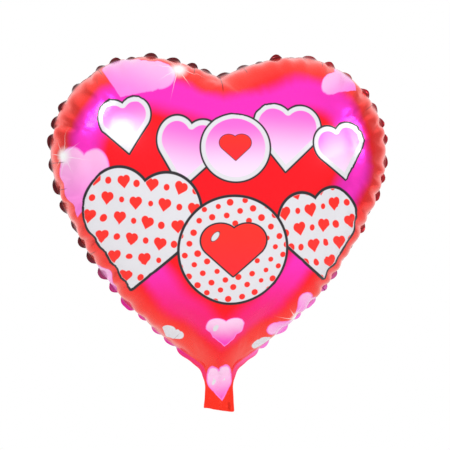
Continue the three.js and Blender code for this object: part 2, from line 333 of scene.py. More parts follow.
def rim_points(seal, step, floor):
    """Rows of points that follow the seal, close together at the rim and wider apart further in"""
    along = np.gradient(seal, axis=0)
    along /= np.linalg.norm(along, axis=1)[:, None]
    inward = np.c_[along[:, 1], -along[:, 0]]
    kept = np.zeros((0, 2))
    for depth, before in zip(RIM_ROWS, (0.0,) + RIM_ROWS):
        spacing = max(step, depth - before)
        row = (seal + inward * depth)[::max(1, round(spacing / step))]
        fits = inside(seal, row) & (distance_to(seal, row) > 0.9 * depth) & (row[:, 1] > floor + 1.2)
        for point in row[fits]:
            if not len(kept) or np.linalg.norm(kept - point, axis=1).min() > RIM_ROOM * spacing:
                kept = np.vstack([kept, point])
    return kept


def middle_points(seal, rim, step):
    """A honeycomb of points in the middle of the film, clear of the rows at the rim"""
    low, high = seal.min(0), seal.max(0)
    count = math.ceil(high[0] / step)
    found = []
    for row, z in enumerate(np.arange(low[1] + 1.5, high[1], step * math.sqrt(0.75))):
        shift = step / 2 * (row % 2)
        found += [(i * step + shift, z) for i in range(-count, count + 1)]
    found = np.array(found)
    found = found[inside(seal, found)]
    found = found[distance_to(seal, found) > HEART_LEAST_STEP]
    clear = [p for p in found if np.linalg.norm(rim - p, axis=1).min() > MIDDLE_ROOM * step]
    return np.array(clear)


def film_triangles(seal, points):
    """Points of one film, the seal's first, and its triangles, turned to the front"""
    ring = [(i, (i + 1) % len(seal)) for i in range(len(seal))]
    given = [Vector(p) for p in np.vstack([seal, points])]
    made = delaunay_2d_cdt(given, ring, [list(range(len(seal)))], 1, 1e-6)
    flat = np.array([v[:] for v in made[0]])
    faces = np.array([list(f) for f in made[2]])
    a, b, c = (flat[faces[:, k]] for k in range(3))
    area = np.cross(b - a, c - a)
    faces[area < 0] = faces[area < 0][:, ::-1]
    return flat, faces, np.abs(area) / 2


def bulge(flat, faces, area, rim_count):
    """Height of a thin film held at the seal under even pressure, found by finite elements"""
    first, second, weight = [], [], []
    for k in range(3):
        i, j, tip = faces[:, k], faces[:, (k + 1) % 3], faces[:, (k + 2) % 3]
        one, two = flat[i] - flat[tip], flat[j] - flat[tip]
        first.append(i)
        second.append(j)
        weight.append((one * two).sum(1) / np.abs(np.cross(one, two)) / 2)
    first, second, weight = (np.concatenate(part) for part in (first, second, weight))
    count = len(flat)
    own = np.bincount(first, weight, count) + np.bincount(second, weight, count)

    def pull(height):
        moved = own * height
        moved -= np.bincount(first, weight * height[second], count)
        moved -= np.bincount(second, weight * height[first], count)
        moved[:rim_count] = 0
        return moved

    height = np.zeros(count)
    left = np.bincount(faces.ravel(), np.repeat(area / 3, 3), count)
    left[:rim_count] = 0
    way, size = left.copy(), left @ left
    enough = 1e-10 * size
    while size > enough:
        pulled = pull(way)
        share = size / (way @ pulled)
        height += share * way
        left -= share * pulled
        size, before = left @ left, size
        way = left + size / before * way
    return np.sqrt(np.maximum(height, 0) / height.max())


def film_heights(flat, faces, area, seal):
    """How far each point of a film stands out from the plane of the seal when the balloon is full"""
    x, z = flat.T
    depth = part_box("back_film")[1].y / MM - FILM_INSIDE
    height = depth * bulge(flat, faces, area, len(seal))
    bottom = np.argmin(np.hypot(x, z - NECK_TAPER[0]))
    share = NECK_RISE / height[bottom]
    height *= share + (1 - share) * smooth(z, *NECK_TAPER)
    right = seal[len(seal) // 2:][::-1]
    low = right[:, 1] < 2 * FLAT_NECK
    half = np.interp(z, right[low][:, 1], right[low][:, 0])
    rise = np.interp(z, LENS_HEIGHTS, LENS_RISES)
    lens = rise * np.sqrt(np.maximum(1 - (np.abs(x) / half) ** 3, 0))
    belly = smooth(z, NECK_TAPER[0], FLAT_NECK)
    height = np.where(z < FLAT_NECK, belly * height + (1 - belly) * lens, height)
    height[:len(seal)] = 0
    return height


def cut_growth(inset, excess, depth):
    """How much further each point stands out in the wider cut, so that the film keeps its length inwards"""
    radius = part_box("back_film")[1].x / MM
    steps = np.linspace(0, RIM_DEPTH, 90)
    wider = 1 + excess * (1 - smooth(steps / RIM_DEPTH))
    run = radius - steps
    full = depth * np.sqrt(1 - (run / radius) ** 2)
    lengths = np.diff(run) ** 2 + np.diff(full) ** 2 - np.diff(run * wider) ** 2
    return np.interp(inset, steps, np.r_[0, np.cumsum(np.sqrt(np.maximum(lengths, 0)))] - full)


def film_growth(inset):
    """Distance from the heart's middle along the film, as a share of the distance seen from the front"""
    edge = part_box("back_film")[1]
    half_width, depth = edge.x / MM - BORDER_WIDTH, edge.y / MM
    radius = np.linspace(0, half_width * 0.9995, 4000)
    slope = depth * radius / (half_width ** 2 * np.sqrt(1 - (radius / half_width) ** 2))
    steps = np.sqrt(1 + ((slope[1:] + slope[:-1]) / 2) ** 2) * np.diff(radius)
    along = np.r_[0, np.cumsum(steps)]
    place = np.clip(half_width - inset, 1, radius[-1])
    return np.interp(place, radius, along) / place


def pucker_wave(seal, spacing):
    """A wave along the seal, one turn a pucker, with slightly uneven turns, that dies away at the neck"""
    length = np.linalg.norm(np.diff(seal, axis=0), axis=1).sum()
    count = int(length / spacing)
    uneven = np.cumsum(np.random.default_rng(1).uniform(0.7, 1.3, count + 2))
    numbers = uneven * count / uneven[-1]
    turns = np.interp(np.linspace(0, 1, len(seal)), np.linspace(0, 1, count + 2), numbers)
    return np.cos(2 * math.pi * turns) * smooth(seal[:, 1], NECK_LOW, NECK_HIGH)


def fill_with_gas(cut, full, faces, hold, gas, settings):
    """Fills the cut blank by cloth simulation and gives back where its points come to rest"""
    mesh = bpy.data.meshes.new("blank")
    mesh.from_pydata(cut * MM, [], faces)
    blank = bpy.data.objects.new("blank", mesh)
    bpy.context.scene.collection.objects.link(blank)
    blank.shape_key_add(name="cut")
    key = blank.shape_key_add(name="full", from_mix=False)
    key.data.foreach_set("co", (full * MM).astype(np.float32).ravel())
    for value, at in ((0.0, 1), (1.0, FULL_FRAME)):
        key.value = value
        key.keyframe_insert("value", frame=at)
    for name, weights in (("hold", hold), ("gas", gas)):
        group = blank.vertex_groups.new(name=name)
        for point, weight in enumerate(weights):
            group.add([point], float(weight), "REPLACE")
    cloth = blank.modifiers.new("Cloth", "CLOTH")
    film = cloth.settings
    for name, value in CLOTH.items():
        setattr(film, name, value)
    film.uniform_pressure_force = settings.gas_pressure
    film.vertex_group_pressure = "gas"
    film.vertex_group_mass = "hold"
    film.effector_weights.gravity = 0
    cloth.collision_settings.use_collision = False
    cloth.collision_settings.use_self_collision = False
    scene = bpy.context.scene
    scene.frame_start, scene.frame_end = 1, settings.frames
    cloth.point_cache.frame_end = settings.frames
    for number in range(1, settings.frames + 1):
        scene.frame_set(number)
    settled = blank.evaluated_get(bpy.context.evaluated_depsgraph_get())
    found = np.empty(len(cut) * 3, np.float32)
    settled.data.vertices.foreach_get("co", found)
    scene.frame_set(1)
    bpy.data.objects.remove(blank)
    bpy.data.meshes.remove(mesh)
    return found.reshape(-1, 3).astype(float) / MM


def drawn_back(now, full, seal_count, nearest, inset, step):
    """The filled shape with its rim slid back on to the true outline, but for a part of its short waves"""
    reach = round(OUTLINE_REACH / step)
    weights = np.hanning(2 * reach + 1)
    drift = (now - full)[:seal_count, ::2]
    padded = np.vstack([drift[reach:0:-1], drift, drift[-2:-reach - 2:-1]])
    mean = np.array([np.convolve(padded[:, k], weights / weights.sum(), "valid") for k in range(2)]).T
    mean += (drift - mean) * OUTLINE_CALM
    slid = now.copy()
    slid[:, ::2] -= mean[nearest] * (1 - smooth(inset, 0, RIM_DEPTH))[:, None]
    return slid


def ruffle(points, rows, wave, widths):
    """Leans the border back, and to and fro with the puckers, hinged at the seal"""
    seam = points[rows[0]]
    along = np.gradient(seam, axis=0)
    along /= np.linalg.norm(along, axis=1)[:, None]
    fade = smooth(seam[:, 2], NECK_LOW, NECK_HIGH)
    lean = (BORDER_SWING * wave - BORDER_LEAN * fade)[:, None]
    leaned = points.copy()
    for row, share in zip(rows[1:], BORDER_SHARES):
        out = points[row] - seam
        out *= (widths * share / np.linalg.norm(out, axis=1))[:, None]
        leaned[row] = seam + out * np.cos(lean) + np.cross(along, out) * np.sin(lean)
    return leaned


def tail_crinkle(points):
    """Small folds of the loose tail, and its unevenly cut end"""
    x, z = points[:, 0], points[:, 2]
    down = smooth(-z, 6, 16)
    bent = points.copy()
    waves = sum(size * np.sin(x / across + z / up + start) for size, across, up, start in TAIL_WAVES)
    bent[:, 1] += down * waves
    ragged = TAIL_SLANT * smooth(-x, 2, 15) + TAIL_SCALLOP * np.sin(x / 2.6) + TAIL_SCALLOP
    bent[:, 2] += smooth(-z, 14, 32) * ragged
    return bent


def plain_faces(faces):
    """Faces as tuples of plain whole numbers, as a mesh takes them"""
    return [tuple(int(i) for i in face) for face in faces]


@lru_cache(maxsize=1)
def filled_blank():
    """Both films and their border as filled: points, faces and what the print reads"""
    settings = bpy.context.scene.balloon_film
    step, depth = settings.point_step / MM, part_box("back_film")[1].y / MM - FILM_INSIDE
    seal, outline = blank_outline(step)
    border = outline - seal
    widths = np.linalg.norm(border, axis=1)
    rim = rim_points(seal, step, seal[:, 1].min())
    middle = middle_points(seal, rim, settings.inner_step / MM)
    flat, faces, area = film_triangles(seal, np.vstack([rim, middle]))
    height = film_heights(flat, faces, area, seal)
    n, count = len(seal), len(flat)
    inset = distance_to(seal, flat)
    inset[:n] = 0
    nearest = np.array([np.argmin(np.linalg.norm(seal - p, axis=1)) for p in flat])

    # the cut blank: longer round the rim, further out, and its edge waves to and fro
    turns = pucker_wave(seal, settings.pucker_spacing / MM)
    wave = turns * settings.pucker_start / MM
    ripple = wave[nearest] * np.exp(-inset / RIPPLE_FADE)
    puckered = smooth(flat[:, 1], NECK_LOW, NECK_HIGH)
    widen = 1 + settings.cut_excess * (1 - smooth(inset / RIM_DEPTH)) * puckered
    wide = HEART_MIDDLE + (flat - HEART_MIDDLE) * widen[:, None]
    raised = np.maximum(height + cut_growth(inset, settings.cut_excess, depth) * puckered, 0)
    front, back = np.arange(count), np.r_[np.arange(n), count + np.arange(count - n)]
    full, cut = np.zeros((2 * count - n, 3)), np.zeros((2 * count - n, 3))
    for side, way in ((back, 1), (front, -1)):
        full[side] = np.c_[flat[:, 0], way * height + RIPPLE_FULL * ripple, flat[:, 1]]
        cut[side] = np.c_[wide[:, 0], way * raised + ripple, wide[:, 1]]
    rows = [np.arange(n)]
    for share in BORDER_SHARES:
        rows.append(len(full) + np.arange(n))
        x, z = (seal + border * share).T
        full = np.vstack([full, np.c_[x, RIPPLE_FULL * wave, z]])
        x, z = (wide[:n] + border * share).T
        cut = np.vstack([cut, np.c_[x, wave, z]])
    strip = plain_faces(
        (a[i], a[i + 1], b[i + 1], b[i]) for a, b in zip(rows, rows[1:]) for i in range(n - 1))
    films = plain_faces(front[faces]) + plain_faces(back[faces[:, ::-1]])

    # how deep each point lies in from the seal, and the point of the seal that it is nearest to
    deep, near = np.zeros(len(full)), np.zeros(len(full), int)
    deep[front] = deep[back] = inset
    near[front] = near[back] = nearest
    for row in rows[1:]:
        near[row] = np.arange(n)

    # the filled shape
    shape = full
    hold = np.maximum(smooth(deep / RIM_DEPTH, *HELD_DEPTHS), 1 - smooth(full[:, 2], *HELD_HEIGHTS))
    shape = fill_with_gas(cut, full, films + strip, hold, smooth(deep, 0, GAS_REACH), settings)
    shape += (full - shape) * FILM_CALM
    shape = drawn_back(shape, full, n, near, deep, step)
    given = border * BORDER_GIVEN * smooth(seal[:, 1], NECK_LOW, NECK_HIGH)[:, None]
    shape[:, ::2] += given[near] * (1 - smooth(deep, 0, RIM_DEPTH))[:, None]
    shape = tail_crinkle(ruffle(shape, rows, turns, widths))

    # what the print reads: places on the film drawn out flat, and distances from and along the seal
    growth = 1 + (film_growth(inset) - 1) * smooth(flat[:, 1], 0, PRINT_FULL)
    art = HEART_MIDDLE + (flat - HEART_MIDDLE) * growth[:, None]
    print_place = np.zeros((len(full), 2))
    print_place[front] = print_place[back] = art
    for row, share in zip(rows[1:], BORDER_SHARES):
        print_place[row] = art[:n] + border * share
        deep[row] = -share * widths
    along = np.r_[0, np.cumsum(np.linalg.norm(np.diff(seal, axis=0), axis=1))]
    return {
        "shape": shape, "faces": faces, "front": front, "back": back, "rows": rows, "strip": strip,
        "print_place": print_place, "inset": deep, "along": along[near],
    }


# ---------------------------------------------------------------- making pieces

def new_piece(name, points, faces, values=None):
    """A new selected object from points in millimetres, with values kept on its points"""
    bpy.ops.object.select_all(action="DESELECT")
    mesh = bpy.data.meshes.new(name)
    mesh.from_pydata(np.asarray(points) * MM, [], faces)
    for label, kept in (values or {}).items():
        kept = np.asarray(kept, np.float32)
        kind, field = ("FLOAT_VECTOR", "vector") if kept.ndim == 2 else ("FLOAT", "value")
        mesh.attributes.new(label, kind, "POINT").data.foreach_set(field, kept.ravel())
    piece = bpy.data.objects.new(name, mesh)
    bpy.context.scene.collection.objects.link(piece)
    piece.select_set(True)
    bpy.context.view_layer.objects.active = piece
    return piece


def apply_modifier(piece, kind, **settings):
    """Adds a modifier with its settings and applies it"""
    modifier = piece.modifiers.new(kind.title(), kind)
    for name, value in settings.items():
        setattr(modifier, name, value)
    bpy.ops.object.modifier_apply(modifier=modifier.name)


def make_film(piece, gauge, materials):
    """Smooths a sheet, gives it its thickness and its two faces, and shades it"""
    for material in materials:
        piece.data.materials.append(material)
    apply_modifier(piece, "SUBSURF", levels=1, render_levels=1)
    apply_modifier(piece, "SOLIDIFY", thickness=gauge, offset=0, material_offset=len(materials) - 1)
    bpy.ops.object.shade_smooth_by_angle(angle=SMOOTH_ANGLE)


def border_normals(blank):
    """Direction out of the back face of the border at each of its points"""
    points = blank["shape"]
    normals = np.zeros((len(points), 3))
    for face in blank["strip"]:
        a, b, c = (points[face[k]] for k in (0, 1, 2))
        across = np.cross(b - a, c - a)
        for point in face:
            normals[point] += across
    lengths = np.linalg.norm(normals, axis=1)
    normals[lengths > 0] /= lengths[lengths > 0][:, None]
    middle = blank["rows"][0][len(blank["rows"][0]) // 4]
    return normals if normals[middle][1] > 0 else -normals


# ---------------------------------------------------------------- materials

def feed(tree, node, sockets):
    """Sets the sockets of a node, each to a value or to the output that feeds it"""
    for socket, value in sockets.items():
        if isinstance(value, bpy.types.NodeSocket):
            tree.links.new(value, node.inputs[socket])
        else:
            node.inputs[socket].default_value = value


def add(tree, kind, sockets=None, **settings):
    """Adds a node with its settings and what feeds its sockets, and gives back its outputs"""
    made = tree.nodes.new(kind)
    for name, value in settings.items():
        setattr(made, name, value)
    feed(tree, made, sockets or {})
    return made.outputs


def new_group(name, inputs, outputs):
    """An empty node group with named inputs and outputs, each a float, a vector or a colour"""
    tree = bpy.data.node_groups.new(name, "ShaderNodeTree")
    for names, way in ((inputs, "INPUT"), (outputs, "OUTPUT")):
        for label, kind in names.items():
            tree.interface.new_socket(label, in_out=way, socket_type="NodeSocket" + kind)
    return tree, add(tree, "NodeGroupInput")


def heart_group():
    """Distance in millimetres from a point to the outline of a heart, negative inside it"""
    tree, given = new_group(
        "heart_distance", {"Place": "Vector", "Width": "Float"}, {"Distance": "Float"})
    # the heart is worked out with its sides on the diagonals and its point at nought: it is
    # 1.208 wide then, and its middle is 0.552 above the point
    unit = add(tree, MATH, {0: given["Width"], 1: 1.208}, operation="DIVIDE")[0]
    units = add(tree, "ShaderNodeCombineXYZ", {"X": unit, "Y": unit, "Z": unit})[0]
    scaled = add(tree, VECTOR_MATH, {0: given["Place"], 1: units}, operation="DIVIDE")[0]
    low = add(tree, VECTOR_MATH, {0: scaled, 1: (0, 0.552, 0)}, operation="ADD")[0]
    split = add(tree, "ShaderNodeSeparateXYZ", {0: low})
    side = add(tree, MATH, {0: split["X"]}, operation="ABSOLUTE")[0]
    folded = add(tree, "ShaderNodeCombineXYZ", {"X": side, "Y": split["Y"], "Z": 0.0})[0]
    reach = add(tree, MATH, {0: side, 1: split["Y"]}, operation="ADD")[0]
    lobe = add(tree, VECTOR_MATH, {0: folded, 1: (0.25, 0.75, 0)}, operation="DISTANCE")["Value"]
    round_part = add(tree, MATH, {0: lobe, 1: math.sqrt(2) / 4}, operation="SUBTRACT")[0]
    notch = add(tree, VECTOR_MATH, {0: folded, 1: (0, 1, 0)}, operation="DISTANCE")["Value"]
    half = add(tree, MATH, {0: reach, 1: 0.5}, operation="MULTIPLY")[0]
    foot = add(tree, MATH, {0: half, 1: 0.0}, operation="MAXIMUM")[0]
    on_side = add(tree, "ShaderNodeCombineXYZ", {"X": foot, "Y": foot, "Z": 0.0})[0]
    flank = add(tree, VECTOR_MATH, {0: folded, 1: on_side}, operation="DISTANCE")["Value"]
    nearest = add(tree, MATH, {0: notch, 1: flank}, operation="MINIMUM")[0]
    turn = add(tree, MATH, {0: side, 1: split["Y"]}, operation="SUBTRACT")[0]
    sign = add(tree, MATH, {0: turn}, operation="SIGN")[0]
    straight = add(tree, MATH, {0: nearest, 1: sign}, operation="MULTIPLY")[0]
    upper = add(tree, MATH, {0: reach, 1: 1.0}, operation="GREATER_THAN")[0]
    chosen = add(tree, MIX, {0: upper, 2: straight, 3: round_part}, data_type="FLOAT")[0]
    distance = add(tree, MATH, {0: chosen, 1: unit}, operation="MULTIPLY")[0]
    add(tree, "NodeGroupOutput", {"Distance": distance})
    return tree


def shape_group(heart):
    """A printed heart or disc: an ink outline, a border and a filling that fades from low to high"""
    tree, given = new_group(
        "printed_shape",
        {"Ground": "Color", "Ink": "Float", "Place": "Vector", "Width": "Float", "Disc": "Float",
         "Low": "Color", "High": "Color", "Border": "Float", "Edge": "Color", "Line": "Float",
         "Outline": "Color", "Soft": "Float", "Cover": "Float"},
        {"Ground": "Color", "Ink": "Float", "Filling": "Float"})
    as_heart = add(
        tree, GROUP, {"Place": given["Place"], "Width": given["Width"]}, node_tree=heart)[0]
    centre = add(tree, VECTOR_MATH, {0: given["Place"]}, operation="LENGTH")["Value"]
    half = add(tree, MATH, {0: given["Width"], 1: 0.5}, operation="MULTIPLY")[0]
    as_disc = add(tree, MATH, {0: centre, 1: half}, operation="SUBTRACT")[0]
    distance = add(
        tree, MIX, {0: given["Disc"], 2: as_heart, 3: as_disc}, data_type="FLOAT")[0]
    ground, cover = given["Ground"], []
    inner = add(tree, MATH, {0: given["Border"], 1: -1.0}, operation="MULTIPLY")[0]
    split = add(tree, "ShaderNodeSeparateXYZ", {0: given["Place"]})
    below = add(tree, MATH, {0: half, 1: -0.8}, operation="MULTIPLY")[0]
    above = add(tree, MATH, {0: half, 1: 0.8}, operation="MULTIPLY")[0]
    rise = add(
        tree, MAP_RANGE, {"Value": split["Y"], "From Min": below, "From Max": above},
        interpolation_type="SMOOTHSTEP")[0]
    filling = add(
        tree, MIX, {0: rise, 6: given["Low"], 7: given["High"]}, data_type="RGBA")[2]
    for level, colour in ((given["Line"], given["Outline"]), (0.0, given["Edge"]), (inner, filling)):
        over = add(tree, MATH, {0: level, 1: distance}, operation="SUBTRACT")[0]
        sharp = add(tree, MATH, {0: over, 1: given["Soft"]}, operation="DIVIDE")[0]
        mask = add(tree, MATH, {0: sharp, 1: 0.5}, operation="ADD", use_clamp=True)[0]
        shown = add(tree, MATH, {0: mask, 1: given["Cover"]}, operation="MULTIPLY")[0]
        ground = add(tree, MIX, {0: shown, 6: ground, 7: colour}, data_type="RGBA")[2]
        cover.append(shown)
    ink = add(tree, MATH, {0: given["Ink"], 1: cover[0]}, operation="MAXIMUM")[0]
    add(tree, "NodeGroupOutput", {"Ground": ground, "Ink": ink, "Filling": cover[2]})
    return tree


def scatter_group(heart):
    """Small hearts and dots turn about on a chequered layout, or dots alone on staggered rows"""
    tree, given = new_group(
        "small_hearts",
        {"Place": "Vector", "Pitch": "Vector", "Heart": "Float", "Dot": "Float", "Stagger": "Float"},
        {"Mask": "Float"})
    spread = add(tree, VECTOR_MATH, {0: given["Place"], 1: given["Pitch"]}, operation="DIVIDE")[0]
    split = add(tree, "ShaderNodeSeparateXYZ", {0: spread})
    row = add(tree, MATH, {0: split["Y"]}, operation="FLOOR")[0]
    odd = add(tree, MATH, {0: row, 1: 2.0}, operation="FLOORED_MODULO")[0]
    shift = add(tree, MATH, {0: odd, 1: given["Stagger"]}, operation="MULTIPLY")[0]
    across = add(tree, MATH, {0: split["X"], 1: shift}, operation="ADD")[0]
    column = add(tree, MATH, {0: across}, operation="FLOOR")[0]
    number = add(tree, "ShaderNodeCombineXYZ", {"X": column, "Y": row, "Z": 0.0})[0]
    chance = add(tree, "ShaderNodeTexWhiteNoise", {"Vector": number}, noise_dimensions="2D")
    inner = add(tree, "ShaderNodeCombineXYZ", {"X": across, "Y": split["Y"], "Z": 0.5})[0]
    part = add(tree, VECTOR_MATH, {0: inner}, operation="FRACTION")[0]
    middle = add(tree, VECTOR_MATH, {0: part, 1: (0.5, 0.5, 0.5)}, operation="SUBTRACT")[0]
    local = add(tree, VECTOR_MATH, {0: middle, 1: given["Pitch"]}, operation="MULTIPLY")[0]
    jitter = add(
        tree, VECTOR_MATH, {0: chance["Color"], 1: (0.5, 0.5, 0.5)}, operation="SUBTRACT")[0]
    moved = add(
        tree, VECTOR_MATH, {0: jitter, 1: (2.2, 2.2, 0), 2: local}, operation="MULTIPLY_ADD")[0]
    lean = add(tree, MATH, {0: chance["Value"], 1: 0.5, 2: -0.25}, operation="MULTIPLY_ADD")[0]
    turned = add(
        tree, "ShaderNodeVectorRotate", {"Vector": moved, "Axis": (0, 0, 1), "Angle": lean},
        rotation_type="AXIS_ANGLE")[0]
    flat = add(tree, VECTOR_MATH, {0: turned, 1: (1, 1, 0)}, operation="MULTIPLY")[0]
    as_heart = add(tree, GROUP, {"Place": flat, "Width": given["Heart"]}, node_tree=heart)[0]
    centre = add(tree, VECTOR_MATH, {0: flat}, operation="LENGTH")["Value"]
    radius = add(
        tree, MATH, {0: chance["Value"], 1: 1.1, 2: given["Dot"]}, operation="MULTIPLY_ADD")[0]
    as_dot = add(tree, MATH, {0: centre, 1: radius}, operation="SUBTRACT")[0]
    both = add(tree, MATH, {0: column, 1: row}, operation="ADD")[0]
    even = add(tree, MATH, {0: both, 1: 2.0}, operation="FLOORED_MODULO")[0]
    lone = add(tree, MATH, {0: given["Stagger"], 1: 2.0}, operation="MULTIPLY")[0]
    dotted = add(tree, MATH, {0: even, 1: lone}, operation="MAXIMUM", use_clamp=True)[0]
    distance = add(tree, MIX, {0: dotted, 2: as_heart, 3: as_dot}, data_type="FLOAT")[0]
    mask = add(
        tree, MATH, {0: distance, 1: -1 / 0.7, 2: 0.5}, operation="MULTIPLY_ADD", use_clamp=True)[0]
    add(tree, "NodeGroupOutput", {"Mask": mask})
    return tree


def sparkle_group():
    """A printed glint: a white middle with long thin rays"""
    tree, given = new_group("glint", {"Place": "Vector", "Size": "Float"}, {"Mask": "Float"})
    away = add(tree, VECTOR_MATH, {0: given["Place"]}, operation="LENGTH")["Value"]
    reach = add(tree, MATH, {0: away, 1: given["Size"]}, operation="DIVIDE")[0]
    core = add(
        tree, MAP_RANGE, {"Value": reach, "From Min": 0.34, "From Max": 0.04},
        interpolation_type="SMOOTHSTEP")[0]
    masks = [core]
    for turn, share in ((0.2, 1.0), (0.2 + math.pi / 4, 0.7)):
        turned = add(
            tree, "ShaderNodeVectorRotate", {"Vector": given["Place"], "Axis": (0, 0, 1), "Angle": turn},
            rotation_type="AXIS_ANGLE")[0]
        split = add(tree, "ShaderNodeSeparateXYZ", {0: turned})
        product = add(tree, MATH, {0: split["X"], 1: split["Y"]}, operation="MULTIPLY")[0]
        size = add(tree, MATH, {0: product}, operation="ABSOLUTE")[0]
        thin = add(
            tree, MAP_RANGE,
            {"Value": size, "From Min": 0.0, "From Max": 9.0, "To Min": 1.0, "To Max": 0.0})[0]
        fade = add(
            tree, MAP_RANGE,
            {"Value": reach, "From Min": 0.2, "From Max": share, "To Min": 0.75, "To Max": 0.0},
            interpolation_type="SMOOTHSTEP")[0]
        masks.append(add(tree, MATH, {0: thin, 1: fade}, operation="MULTIPLY")[0])
    first = add(tree, MATH, {0: masks[0], 1: masks[1]}, operation="MAXIMUM")[0]
    mask = add(tree, MATH, {0: first, 1: masks[2]}, operation="MAXIMUM", use_clamp=True)[0]
    add(tree, "NodeGroupOutput", {"Mask": mask})
    return tree


CREASE_SPACING = 82.0                         # millimetres along the seal from one painted dark fold line to the next
RIB_SPACING = 1.2                             # millimetres from one rib of the sealed edge to the next
POLYETHYLENE_IOR = 1.51

# What is printed, in order, in millimetres on the flat film:
# style, across, up, width, tilt in degrees, height share
PRINT = (
    ("petal", -104, 346, 96, -22, 1.55),
    ("petal", -158, 226, 62, -6, 0.74),
    ("petal", 146, 344, 74, 40, 1.9),
    ("petal", -142, 100, 50, 38, 0.9),
    ("petal", 96, 82, 34, -40, 1.0),
    ("petal", 74, 52, 36, 140, 1.0),
    ("spot", -59, 46, 26, -38, 1.15),
    ("spot", 52, 27, 24, 35, 1.1),
    ("glint", -52, 352, 42, 0, 1.0),
    ("glint", -180, 256, 40, 0, 1.0),
    ("glint", 86, 66, 30, 0, 1.0),
    ("badge", -108, 287, 58, 9, 0.86),
    ("badge", -41, 257, 68, -9, 0.80),
    ("badge", 68, 273, 74, -5, 0.92),
    ("badge", 130, 258, 60, 12, 0.90),
    ("medallion", 11, 263, 74, 0, 1.0),
    ("medallion_heart", 11, 263, 34, 0, 1.1),
    ("left_heart", -93, 172, 126, -7, 0.88),
    ("right_heart", 106, 166, 90, 9, 0.84),
    ("dotted_disc", 9, 151, 116, 12, 1.0),
    ("disc_heart", 9, 152, 70, 0, 1.12),
    ("shine", -11, 167, 5.5, -38, 0.5),
    ("low_heart", 3, 56, 46, 0, 1.15),
    ("pale_shine", -8.5, 61.52, 5.06, -30, 0.55),
    ("neck_heart", 1, -2, 27, 8, 0.70),
    ("pale_shine", -5.75, 1.24, 2.97, -30, 0.55),
)
# Small hearts and dots that fill a shape: pitch, heart width, dot radius, stagger of the rows
FILLINGS = {
    "left_heart": ((16, 18, 1), 14.0, 2.6, 0.0),
    "right_heart": ((15, 17, 1), 14.0, 2.6, 0.0),
    "dotted_disc": ((15, 11.5, 1), 8.0, 2.7, 0.5),
}


def print_styles(inks):
    """What each printed shape is drawn with, where it differs from a plain white heart"""
    petal, line, hearts = inks.petal, inks.line, inks.small_hearts
    badge = {"Low": linear("#FBE0FC"), "High": linear("#FF66D8"), "Border": 4.6, "Line": 2.0, "Outline": line}
    red = {"Low": inks.red, "High": hearts, "Edge": hearts, "Outline": line}
    low = {"High": linear("#FFD0F2"), "Border": 1.0, "Edge": petal, "Outline": petal}
    outlined = {"Line": 3.1, "Outline": line}
    return {
        "petal": {"Low": petal, "High": linear("#FFBCEC"), "Border": 1.2, "Edge": petal, "Soft": 1.4,
                  "Cover": 0.92, "Outline": petal},
        "spot": {"Soft": 1.4},
        "badge": badge,
        "medallion": badge | {"Disc": 1.0},
        "medallion_heart": red | {"Line": 1.0},
        "left_heart": outlined,
        "right_heart": outlined,
        "dotted_disc": outlined | {"Disc": 1.0},
        "disc_heart": red | {"Line": 2.0},
        "shine": {"Disc": 1.0, "Line": 0.7, "Outline": line},
        "low_heart": low | {"Low": inks.magenta},
        "neck_heart": low | {"Low": linear("#FF5CCB")},
        "pale_shine": {"Disc": 1.0},
    }


def film_places(tree):
    """Where a point lies on the film: on the print, across and up it, in from the seal and along the seal"""
    at = {}
    for name, output in (("print_place", "Vector"), ("inset", "Fac"), ("along", "Fac")):
        at[name] = add(tree, ATTRIBUTE, attribute_name=name)[output]
    split = add(tree, "ShaderNodeSeparateXYZ", {0: at["print_place"]})
    return at | {"across": split["X"], "up": split["Y"]}


